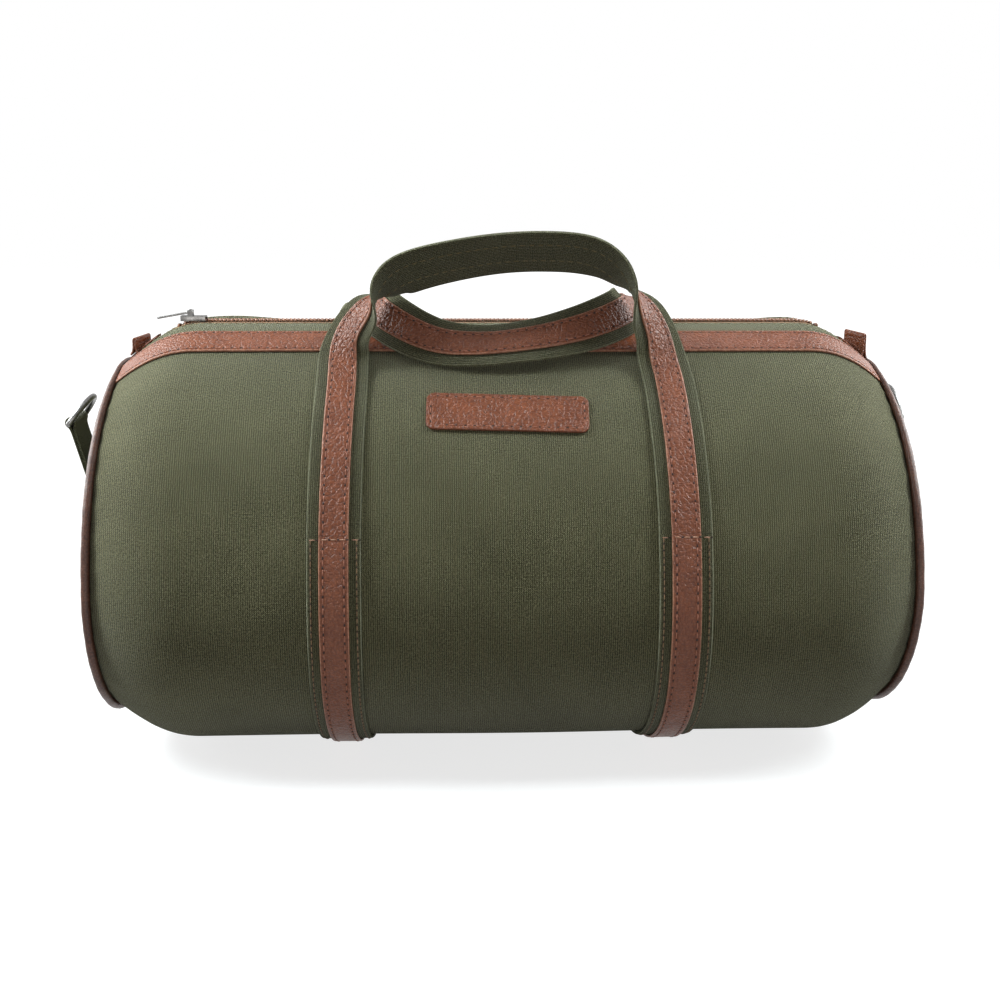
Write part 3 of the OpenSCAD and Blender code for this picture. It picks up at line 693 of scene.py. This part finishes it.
# handles: halves of each path, x from the strap, y, height over the zip, leather direction
archRise = 44
frontRight = [
    (-5.5, -62, -0.4, 0.1, -0.72, 0.69), (-8.5, -57, -0.11, 0.4, -0.85, 0.35),
    (-13.5, -55, 0.14, 0.65, -0.75, 0.1), (-21, -55.5, 0.38, 0.95, -0.3, 0.1),
    (-29, -57, 0.62, 0.85, 0.3, 0.4), (-40, -59.5, 0.88, 0.5, 0.65, 0.6), (-55, -61, 1.03, 0.15, 0.76, 0.63),
    (-78, -61, 1.07, 0.03, 0.78, 0.62), (-103.5, -61, 1.05, 0, 0.78, 0.62)]
frontLeft = [
    (-3, -62, -0.4, 0.1, -0.72, 0.69), (-6, -57, -0.12, 0.45, -0.8, 0.38), (-12, -55, 0.1, 0.68, -0.7, 0.15),
    (-20, -56, 0.3, 0.9, -0.35, 0.1), (-28, -57.5, 0.5, 0.75, 0.45, 0.4), (-37, -60, 0.7, 0.4, 0.78, 0.46),
    (-52, -61.5, 0.84, 0.16, 0.82, 0.54), (-78, -61, 0.97, 0.05, 0.8, 0.6)]
rearLegs = [
    (-3, 58, -15, 0, 0.6, 0.8), (-8, 40, -1.5, 0.05, 0.45, 0.9), (-13, 22, 8, 0.1, 0.15, 0.98),
    (-17, 4, 12, 0.15, 0, 0.98)]
rearRight = rearLegs + [
    (-20, -14, 12.5, 0.3, -0.1, 0.93), (-22.5, -28, 11.5, 0.6, -0.35, 0.7),
    (-27, -37, 9.5, 0.5, -0.75, 0.4), (-35, -44, 6, 0.2, -0.9, 0.35), (-48, -51, 1.5, 0.05, -0.9, 0.43),
    (-62, -55, -2.5, 0.02, -0.84, 0.54), (-80, -57, -6.5, 0, -0.76, 0.65),
    (-103.5, -57.5, -10, 0, -0.7, 0.71)]
rearLeft = rearLegs + [
    (-20, -14, 11.5, 0.3, -0.1, 0.93), (-22.5, -28, 10.5, 0.6, -0.35, 0.7),
    (-27, -37, 7.8, 0.5, -0.75, 0.4), (-35, -44, 2.6, 0.2, -0.9, 0.35), (-48, -51, -4.2, 0.05, -0.88, 0.46),
    (-64, -55, -9.5, 0.02, -0.82, 0.57), (-84, -57, -11, 0, -0.74, 0.67)]
handle = settings(low=0.0, canvasHigh=2.4, leatherLow=2.7, leatherHigh=4.3, legTop=85, legCount=6,
                  legOff=0.3, driftPower=1.5, perSpan=12, easeTurns=12, hingeY=0.1397, bendLow=0.1575,
                  bendHigh=0.180, backSink=0.02)
backSeam = settings(run=stitch.run, radius=0.3, bow=0.26)
legSteps = np.linspace(sewnArc, atTop(handle.legTop), handle.legCount)
legDrift = {-1: 2.5, 1: 0}  # the front legs lean in on their way up


def handleHalf(side, way, free, scale):
    x0 = way * strap.x
    drift = way * legDrift[side] * np.linspace(0, 1, len(legSteps)) ** handle.driftPower
    legPoints = skinAt(x0 - drift, side * legSteps, handle.legOff)
    half = [(*p, *n) for p, n in zip(legPoints, skinNormal(side * legSteps))]
    return half + [(x0 + way * x, y, topZ + scale * z, way * nx, ny, nz) for x, y, z, nx, ny, nz in free]


# a smooth curve through the points of both halves
def handlePath(side, right, left, scale):
    control = np.array(handleHalf(side, 1, right, scale) + handleHalf(side, -1, left, scale)[::-1])
    last = len(control) - 1
    fine = []
    for i in range(last):
        a, b, c, d = (control[min(max(k, 0), last)] for k in (i - 1, i, i + 1, i + 2))
        for f in np.arange(handle.perSpan) / handle.perSpan:
            fine.append(b + f / 2 * (c - a + f * (2 * a - 5 * b + 4 * c - d + f * (3 * b - a - 3 * c + d))))
    fine.append(control[-1])
    return easeLine(np.array(fine), handle.easeTurns)


def pathFrames(path):
    p, f = path[:, :3], path[:, 3:]
    t = unit(np.gradient(p, axis=0))
    n = unit(f - (f * t).sum(1)[:, None] * t)
    return p, n, np.cross(t, n)


def makeHandle(word, side, right, left, scale):
    p, n, s = pathFrames(handlePath(side, right, left, scale))
    run, index = runAlong(p), np.arange(len(p))

    def placeAt(u, a, h):
        k = u.astype(int)
        return p[k] + a[..., None] * s[k] + h[..., None] * n[k]

    profile = strapProfile(handle.low, handle.canvasHigh)
    canvas = sweep(word + "Handle", index, profile, placeAt, strapCanvas, run, ribsAcross=True,
                   edge=canvasEdgeHighlight)
    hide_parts(word + "_handle")
    profile = leatherProfile(handle.leatherLow, handle.leatherHigh)
    leather = sweep(word + "HandleLeather", index, profile, placeAt, tanLeather, run, ribsAcross=True,
                    edge=leatherEdgeHighlight)
    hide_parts(word + "_handle_leather")
    height = handle.leatherHigh - stitch.sink
    rows = [rowPlaces(p + k * stripRow * s + height * n, n) for k in (-1, 1)]
    sewn, holeShades = stitchBeads(word + "Handle", rows, leatherThread)
    rows = [rowPlaces(p + k * stripRow * s - handle.backSink * n, -n) for k in (-1, 1)]
    backs = sew(word + "HandleUnder", rows, oliveThread, backSeam)
    hinge = side * handle.hingeY
    start, end = (0, hinge, handle.bendLow), (0, hinge, handle.bendHigh)
    slots = ((canvas, "canvas"), (leather, "tan_leather"), (sewn, "tan_leather"), (holeShades, "tan_leather"),
             (backs, "canvas"))
    for obj, slot in slots:
        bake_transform(obj)
        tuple(start)
        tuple(end)


makeHandle("front", -1, frontRight, frontLeft, archRise)
makeHandle("rear", 1, rearRight, rearLeft, 1)
print("handles made")

# mouth: canvas lips, tape and teeth, each in two halves that meet at the middle
lip = settings(thick=1.6, innerEdge=7.8, edge=0.75, grooveDepth=0.2, stitchIn=2.4, fixedFrom=0.200,
               freeFrom=0.075, level=0.27, midCount=40, endCount=22, rowFrom=2, rowEnd=4, rowPoints=300)
lipSeam = settings(pitch=4.4, run=3.0, radius=0.3, bow=0.3)
tape = settings(low=-1.2, high=-0.4, near=0.9, far=8.6, edge=0.35, across=7)
teeth = settings(pitch=2.6, width=1.05, reach=3.3, overlap=0.55, low=-0.2, high=1.7, past=18, frontAt=0.25,
                 rearAt=0.75, bow=0.35, sides=8, squash=0.85)
lipSteps = np.concatenate([np.linspace(0, straight, lip.midCount),
                           np.linspace(straight, bag.canvasEnd, lip.endCount)[1:]])


# short runs that lie across the zip
def acrossZip(name, mids, run, radius, bow, sides, squash):
    count = len(mids)
    rows = [(mids, np.tile([0, 1.0, 0], (count, 1)), np.tile([0, 0, 1.0], (count, 1)))]
    return beads(name, rows, zipCoil, run, radius, bow, sides=sides, squash=squash)


def makeTeeth(word, side, endWord, end):
    count = int((straight + teeth.past) / teeth.pitch)
    at = (np.arange(count) + getattr(teeth, word + "At")) * teeth.pitch * end
    base = skinAt(at, np.full(count, side * fullArc), (teeth.low + teeth.high) / 2)
    middle = base + np.array([0, side * (teeth.reach - teeth.overlap) / 2, 0])
    return acrossZip(word + "Teeth" + endWord, middle, teeth.reach + teeth.overlap, teeth.width,
                     teeth.bow, teeth.sides, teeth.squash)


def makeMouth(word, side):
    lipWidth = mouth.lipWidth - lip.innerEdge
    lipMid = atTop((mouth.lipWidth + lip.innerEdge) / 2)
    lipProfile = stripProfile(lipWidth, -lip.thick, 0, lip.edge, lipWidth / 2 - lip.stitchIn,
                              lip.grooveDepth)
    tapeMid = atTop((tape.near + tape.far) / 2)
    tapeProfile = stripProfile(tape.far - tape.near, tape.low, tape.high, tape.edge, across=tape.across)
    edgeArc = np.full(lip.rowPoints, side * atTop(lip.innerEdge + lip.stitchIn))
    for end, endWord in ((-1, "Left"), (1, "Right")):
        xs = lipSteps * end
        way = side * end
        canvas = sweep(word + "Lip" + endWord, xs, lipProfile[::way],
                       lambda x, a, h: skinAt(x, side * (lipMid + a), h), oliveCanvas)
        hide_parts(word + "_lip", endWord.lower() + "_mouth_end")
        ribbon = sweep(word + "Tape" + endWord, xs, tapeProfile[::way],
                       lambda x, a, h: skinAt(x, side * (tapeMid + a), h), zipCloth)
        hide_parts(word + "_zip_tape")
        line = np.linspace(lip.rowFrom, bag.canvasEnd - lip.rowEnd, lip.rowPoints) * end
        rows = [rowPlaces(skinAt(line, edgeArc, -stitch.sink), skinNormal(edgeArc), lipSeam.pitch)]
        seam = sew(word + "LipSeam" + endWord, rows, oliveThread, lipSeam)
        coil = makeTeeth(word, side, endWord, end)
        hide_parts(word + "_teeth", endWord.lower() + "_end_teeth")
        start, stop = ((end * x, 0, lip.level) for x in (lip.fixedFrom, lip.freeFrom))
        for obj, slot in ((canvas, "canvas"), (ribbon, "zip_tape"), (seam, "canvas"), (coil, "zip_teeth")):
            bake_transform(obj)
            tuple(start)
            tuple(stop)


for word, side in bothFaces:
    makeMouth(word, side)
print("mouth made")

# bare leather label patch
label = settings(length=99, height=27, x=0, centreHeight=222, tilt=-1.8, low=0.3, high=2.2, corner=5,
                 stitchIn=2.8, leastCorner=0.4, cornerCount=7, around=160, inner=4.4, swell=0.15,
                 threadSink=0.2)


def makeLabel():
    mid = -arcAtHeight(label.centreHeight)
    half, tall, r, m = label.length / 2, label.height / 2, label.corner, label.around
    corner = np.linspace(0, math.pi / 2, label.cornerCount)

    def outline(shrink):
        pts = []
        least = max(r - shrink, label.leastCorner)
        for k, (cx, cy) in enumerate(((1, 1), (-1, 1), (-1, -1), (1, -1))):
            turn = corner + k * math.pi / 2
            pts += list(zip(cx * (half - r) + least * np.cos(turn), cy * (tall - r) + least * np.sin(turn)))
        loop = np.array(pts + pts[:1])
        dist = runAlong(loop)
        at = np.linspace(0, dist[-1], m, endpoint=False)
        return np.stack([np.interp(at, dist, loop[:, c]) for c in (0, 1)], -1)

    lean = math.radians(label.tilt)
    turnBy = np.array([[math.cos(lean), -math.sin(lean)], [math.sin(lean), math.cos(lean)]])

    def placeAt(flat, h):
        q = flat @ turnBy.T
        return skinAt(label.x + q[..., 0], mid - q[..., 1], h)

    # insets and heights from the foot of the edge, over the stitch groove, to the slightly swollen middle
    top, low = label.high, label.low
    loops = [(0.3, low), (0, low + 0.5), (0, top - 0.6), (0.25, top - 0.2), (0.8, top), (2.1, top - 0.02),
             (label.stitchIn, top - 0.3), (3.5, top - 0.02), (label.inner, top)]
    rings = [placeAt(outline(s), h) for s, h in loops]
    inner = outline(label.inner)
    for f in (0.85, 0.65, 0.4, 0.15):
        rings.append(placeAt(inner * f, top + label.swell * (1 - f ** 2)))
    faces = gridFaces(len(rings), m)
    faces.append([(len(rings) - 1) * m + i for i in range(m)])
    faces.append(list(range(m))[::-1])
    obj = makeObject("labelPatch", np.concatenate(rings), faces, tanLeather)
    finishPiece(obj, "tan_leather", "label_patch")
    loop = outline(label.stitchIn)
    path = placeAt(np.concatenate([loop, loop[:1]]), top - label.threadSink)
    stitchPieces("label", [rowPlaces(path, skinNormal(np.full(len(path), mid)))], "tan_leather")


makeLabel()
print("label made")

# slider and pull: the CAD metal with its edges broken
metal = settings(bevel=0.00028, sharp=35, weld=1e-6, flat=0.01, segments=2, round=0.6, smooth=40)


def softened(name, node):
    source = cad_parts[node]
    work = bmesh.new()
    work.from_mesh(source.data)
    work.transform(source.matrix_world)
    bmesh.ops.remove_doubles(work, verts=work.verts, dist=metal.weld)
    bmesh.ops.dissolve_limit(work, angle_limit=metal.flat, verts=work.verts, edges=work.edges)
    least = math.radians(metal.sharp)
    sharp = [e for e in work.edges if len(e.link_faces) == 2 and e.calc_face_angle() > least]
    bmesh.ops.bevel(work, geom=sharp, offset=metal.bevel, segments=metal.segments,
                    profile=metal.round, affect="EDGES", clamp_overlap=True)
    mesh = bpy.data.meshes.new(name)
    work.to_mesh(mesh)
    work.free()
    mesh.materials.clear()
    mesh.materials.append(gunMetal)
    mesh.polygons.foreach_set("use_smooth", [True] * len(mesh.polygons))
    mesh.set_sharp_from_angle(angle=math.radians(metal.smooth))
    finishPiece(linkObject(name, mesh), "metal", node, body=name)


softened("slider", "zip_slider")
softened("pull", "zip_pull")

# a wrapped stop at each end of the teeth
stop = settings(x=213.4, height=0.5, run=7.5, radius=1.4, bow=0.3, sides=10, squash=0.8)
stopAt = skinAt(np.array([-stop.x, stop.x]), fullArc, stop.height)
stops = acrossZip("stops", stopAt, stop.run, stop.radius, stop.bow, stop.sides, stop.squash)
finishPiece(stops, "zip_teeth", "zip_stops")

# folded leather tabs at the zip's ends, on a small pad
tab = settings(leftX=241, rightX=244, width=18, leftHeight=8.5, rightHeight=13.5, thick=1.5, edge=0.6,
               leftTurn=22, rightTurn=32, padIn=12, padEnd=247.5, padLow=0.3, padHigh=1.9, padSteps=14,
               foot=0.7, slant=0.1, spread=2.2, layerAt=0.55, capRise=0.9, layerCount=12, capCount=9)
tabSeam = settings(face=5, endGap=2, points=30, sink=0.1, pitch=3.4, run=2.4, radius=0.32, bow=0.3)


def makeTab(word, side):
    x0, tall, turn = (getattr(tab, word + key) for key in ("X", "Height", "Turn"))
    turn = math.radians(turn)
    half, t = tab.width / 2, tab.thick
    foot = skinAt(side * x0, fullArc, tab.foot, soft=False)
    padProfile = stripProfile(tab.width, tab.padLow, tab.padHigh, tab.edge)[::-side]

    def onTop(x, a, h):
        return skinAt(x, np.where(a < 0, -(fullArc + a), fullArc - a), h, soft=False)

    padSteps = np.linspace(x0 - tab.padIn, tab.padEnd, tab.padSteps) * side
    pad = sweep(word + "TabPad", padSteps, padProfile, onTop, tanLeather)
    finishPiece(pad, "tan_leather")
    # line of the fold: up one layer, over and down the other, with spread feet
    up = np.linspace(0, 1, tab.layerCount)
    layerAt = t * tab.layerAt
    layer = np.stack([layerAt + tab.spread * (1 - up) ** 4, up * (tall - t)], -1)
    cap = np.linspace(0, math.pi, tab.capCount)[1:-1]
    over = np.stack([layerAt * np.cos(cap), tall - t + t * tab.capRise * np.sin(cap)], -1)
    line = np.concatenate([layer, over, layer[::-1] * [-1, 1]])
    outward = outwardOf(line)
    thin = np.array([math.cos(turn), math.sin(turn) * side, 0]) * side
    wide = np.array([-math.sin(turn) * side, math.cos(turn), 0])

    def placeAt(u, a, h):
        q = line[u.astype(int)] + outward[u.astype(int)] * h[..., None]
        a = np.broadcast_arrays(u, a, h)[1]
        # the foot follows the sloping end, the top is cut nearly level
        root = skinAt(side * x0 + a * wide[0], fullArc - np.abs(a * wide[1]), tab.foot, soft=False)
        share = np.clip(q[..., 1] / tall, 0, 1)
        level = (1 - share) * root[..., 2] + share * (foot[2] + tab.slant * a)
        flat = q[..., :1] * thin
        return np.stack([root[..., 0] + flat[..., 0], a * wide[1] + flat[..., 1], level + q[..., 1]], -1)

    profile = stripProfile(tab.width, -t / 2, t / 2, tab.edge)[::-side]
    flap = sweep(word + "Tab", np.arange(len(line)), profile, placeAt, tanLeather)
    finishPiece(flap, "tan_leather", word + "_end_tab")
    count = tabSeam.points
    a = np.linspace(-half + tabSeam.endGap, half - tabSeam.endGap, count)
    rows = []
    for k, face in ((1, tabSeam.face), (-1, len(line) - 1 - tabSeam.face)):
        path = placeAt(np.full(count, face), a, np.full(count, t / 2 - tabSeam.sink))
        rows.append(rowPlaces(path, np.tile(k * thin, (count, 1)), tabSeam.pitch))
    seam = sew(word + "TabThread", rows, leatherThread, tabSeam)
    finishPiece(seam, "tan_leather")


for word, side in bothEnds:
    makeTab(word, side)

# canvas ring tabs, each a strip folded round the ring's bar
ringTab = settings(length=54, width=32, footX=269.8, footZ=152.1, foot=24, leftLean=15, rightLean=-2,
                   layer=0.95, thick=1.7, edge=0.8, eye=2.95, eyeGap=5, wrapFrom=-62, wrapTo=242,
                   wrapCount=25, count=40, bend=6, easeTurns=2)
ringSeam = settings(inside=3.2, crossIn=4, faces=(3, 33), points=30, pitch=4.4, run=3.0, radius=0.32,
                    bow=0.3)


def makeRingTab(word, side):
    r = ringTab
    lean = math.radians(getattr(r, word + "Lean"))
    axisUp = np.array([math.sin(lean), math.cos(lean)])
    axisOut = np.array([math.cos(lean), -math.sin(lean)])
    # middle line of the folded strip: foot, bend, then the leaning part
    a = np.linspace(-r.foot, r.length - r.eyeGap, r.count)
    bend = ease((a + r.bend) / (2 * r.bend)) * lean
    mid = np.stack([np.where(a > 0, a * math.sin(lean), 0), np.where(a > 0, a * math.cos(lean), a)], -1)
    out = np.stack([np.cos(bend), -np.sin(bend)], -1)
    wrap = np.radians(np.linspace(r.wrapFrom, r.wrapTo, r.wrapCount))
    circle = np.cos(wrap)[:, None] * axisOut + np.sin(wrap)[:, None] * axisUp
    loop = r.length * axisUp + r.eye * circle
    line = np.concatenate([mid + r.layer * out, loop, (mid - r.layer * out)[::-1]])
    line = easeLine(line, r.easeTurns)
    outward = outwardOf(line)

    def placeAt(u, c, h):
        q = line[u.astype(int)] + outward[u.astype(int)] * h[..., None]
        x, y, z = np.broadcast_arrays(side * (r.footX + q[..., 0]), c, r.footZ + q[..., 1])
        return np.stack([x, y, z], -1)

    profile = stripProfile(r.width, -r.thick / 2, r.thick / 2, r.edge, lobes=True)[::side]
    obj = sweep(word + "RingTab", np.arange(len(line)), profile, placeAt, strapCanvas, runAlong(line),
                ribsAcross=True)
    finishPiece(obj, "canvas", word + "_ring_tab")

    def row(u, c):
        path = placeAt(u, c, np.full(len(u), r.thick / 2))
        normals = np.stack([side * outward[u, 0], 0 * u, outward[u, 1]], -1)
        return rowPlaces(path, normals, ringSeam.pitch)

    half = r.width / 2
    u = np.arange(1, r.count - 1)
    rows = [row(u, np.full(len(u), k * (half - ringSeam.inside))) for k in (-1, 1)]
    c = np.linspace(-half + ringSeam.crossIn, half - ringSeam.crossIn, ringSeam.points)
    rows += [row(np.full(len(c), face), c) for face in ringSeam.faces]
    seam = sew(word + "RingTabThread", rows, oliveThread, ringSeam)
    finishPiece(seam, "canvas")


for word, side in bothEnds:
    makeRingTab(word, side)

# pieces that keep the CAD solid and take a material
for node, mat in (("left_ring", gunMetal), ("right_ring", gunMetal), ("base_board", boardGrey)):
    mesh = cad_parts[node].data
    mesh.materials.clear()
    mesh.materials.append(mat)
print("tabs, slider and rings made")

# floor, light and camera
studio = settings(floor=6.0, floorTone=0.2, shadowTone=0.9, glow=1.22, nearShare=0.62, near=0.30, far=0.75,
                  world=0.1, worldTint=(0.95, 0.97, 1, 1), camera=(-0.0405, -0.9041, 0.349), pitch=12.55,
                  roll=0.2, yaw=2.5, lens=48.6, sensor=36)


# shows one shader to rays that see the white studio (straight, mirrored, passed through), another to the rest
def splitBySight(nodes, links, lit, seen, output):
    path = nodes.new("ShaderNodeLightPath").outputs
    sight = mathNode(nodes, links, "MAXIMUM", path["Is Glossy Ray"], path["Is Transmission Ray"])
    sight = mathNode(nodes, links, "MAXIMUM", path["Is Camera Ray"], sight)
    mix = nodes.new("ShaderNodeMixShader")
    for socket, source in enumerate((sight, lit.outputs[0], seen.outputs[0])):
        links.new(source, mix.inputs[socket])
    links.new(mix.outputs[0], nodes[output].inputs["Surface"])


def makeFloor():
    size, tone = studio.floor, studio.floorTone
    mesh = bpy.data.meshes.new("floor")
    corners = [(-size, -size, 0), (size, -size, 0), (size, size, 0), (-size, size, 0)]
    mesh.from_pydata(corners, [], [(0, 1, 2, 3)])
    mat, nodes, links, shader = newMaterial("paleFloor", (tone, tone, tone), 0.9)
    # seen from the camera the floor is white, and only near the bag does it take the shadow
    place = nodes.new("ShaderNodeTexCoord")
    gap = nodes.new("ShaderNodeVectorMath")
    gap.operation = "LENGTH"
    links.new(place.outputs["Object"], gap.inputs[0])
    away = addNode(nodes, "ShaderNodeMapRange", interpolation_type="SMOOTHSTEP", From_Min=studio.near,
                   From_Max=studio.far, To_Min=studio.nearShare, To_Max=1.0)
    links.new(gap.outputs["Value"], away.inputs["Value"])
    glow = addNode(nodes, "ShaderNodeEmission", Strength=studio.glow)
    pale = addNode(nodes, "ShaderNodeBsdfDiffuse", Color=(*[studio.shadowTone] * 3, 1))
    seen = nodes.new("ShaderNodeMixShader")
    for socket, source in enumerate((away, pale, glow)):
        links.new(source.outputs[0], seen.inputs[socket])
    splitBySight(nodes, links, shader, seen, "Material Output")
    mesh.materials.append(mat)
    linkObject("floor", mesh)


def makeWorld():
    world = bpy.data.worlds.new("studio")
    bpy.context.scene.world = world
    world.use_nodes = True
    nodes, links = world.node_tree.nodes, world.node_tree.links
    back = setNode(nodes["Background"], Color=studio.worldTint, Strength=studio.world)
    white = addNode(nodes, "ShaderNodeBackground", Color=(1, 1, 1, 1), Strength=1.0)
    splitBySight(nodes, links, back, white, "World Output")


def addLamp(name, place, aim, size, power, colour, spread=180):
    lamp = bpy.data.lights.new(name, "AREA")
    lamp.shape = "RECTANGLE"
    lamp.size, lamp.size_y = size
    lamp.energy = power
    lamp.color = colour
    lamp.spread = math.radians(spread)
    obj = linkObject(name, lamp)
    obj.location = place
    way = np.array(aim) - np.array(place)
    tip = math.atan2(math.hypot(way[0], way[1]), -way[2])
    obj.rotation_euler = (tip, 0, math.atan2(way[1], way[0]) - math.pi / 2)


makeFloor()
makeWorld()
addLamp("topLight", (0, -0.1, 1.5), (0, 0.02, 0.1), (1.6, 0.8), 1.3, (0.94, 0.99, 1))
addLamp("frontFill", (0, -1.8, 0.2), (0, 0, 0.12), (1.8, 0.36), 8, (1, 0.98, 0.94))
addLamp("leftTop", (-0.75, -0.12, 0.72), (-0.27, -0.05, 0.2), (0.3, 0.5), 1.9, (0.9, 0.98, 1), 60)
addLamp("rightTop", (0.75, -0.12, 0.72), (0.27, -0.05, 0.2), (0.3, 0.5), 1.4, (0.9, 0.98, 1), 60)
addLamp("leftRim", (-1.3, 0.55, 0.7), (-0.15, 0, 0.18), (0.6, 1.2), 21, (0.96, 0.99, 1))
addLamp("rightRim", (1.3, 0.55, 0.7), (0.15, 0, 0.18), (0.6, 1.2), 17, (0.96, 0.99, 1))
camera = bpy.data.cameras.new("camera")
camera.lens = studio.lens
camera.sensor_width = studio.sensor
cameraObject = linkObject("camera", camera)
cameraObject.location = studio.camera
cameraObject.rotation_euler = np.radians([90 - studio.pitch, -studio.roll, -studio.yaw])
bpy.context.scene.camera = cameraObject
bpy.context.scene.view_settings.view_transform = "Standard"
print("stage, lights and camera set")
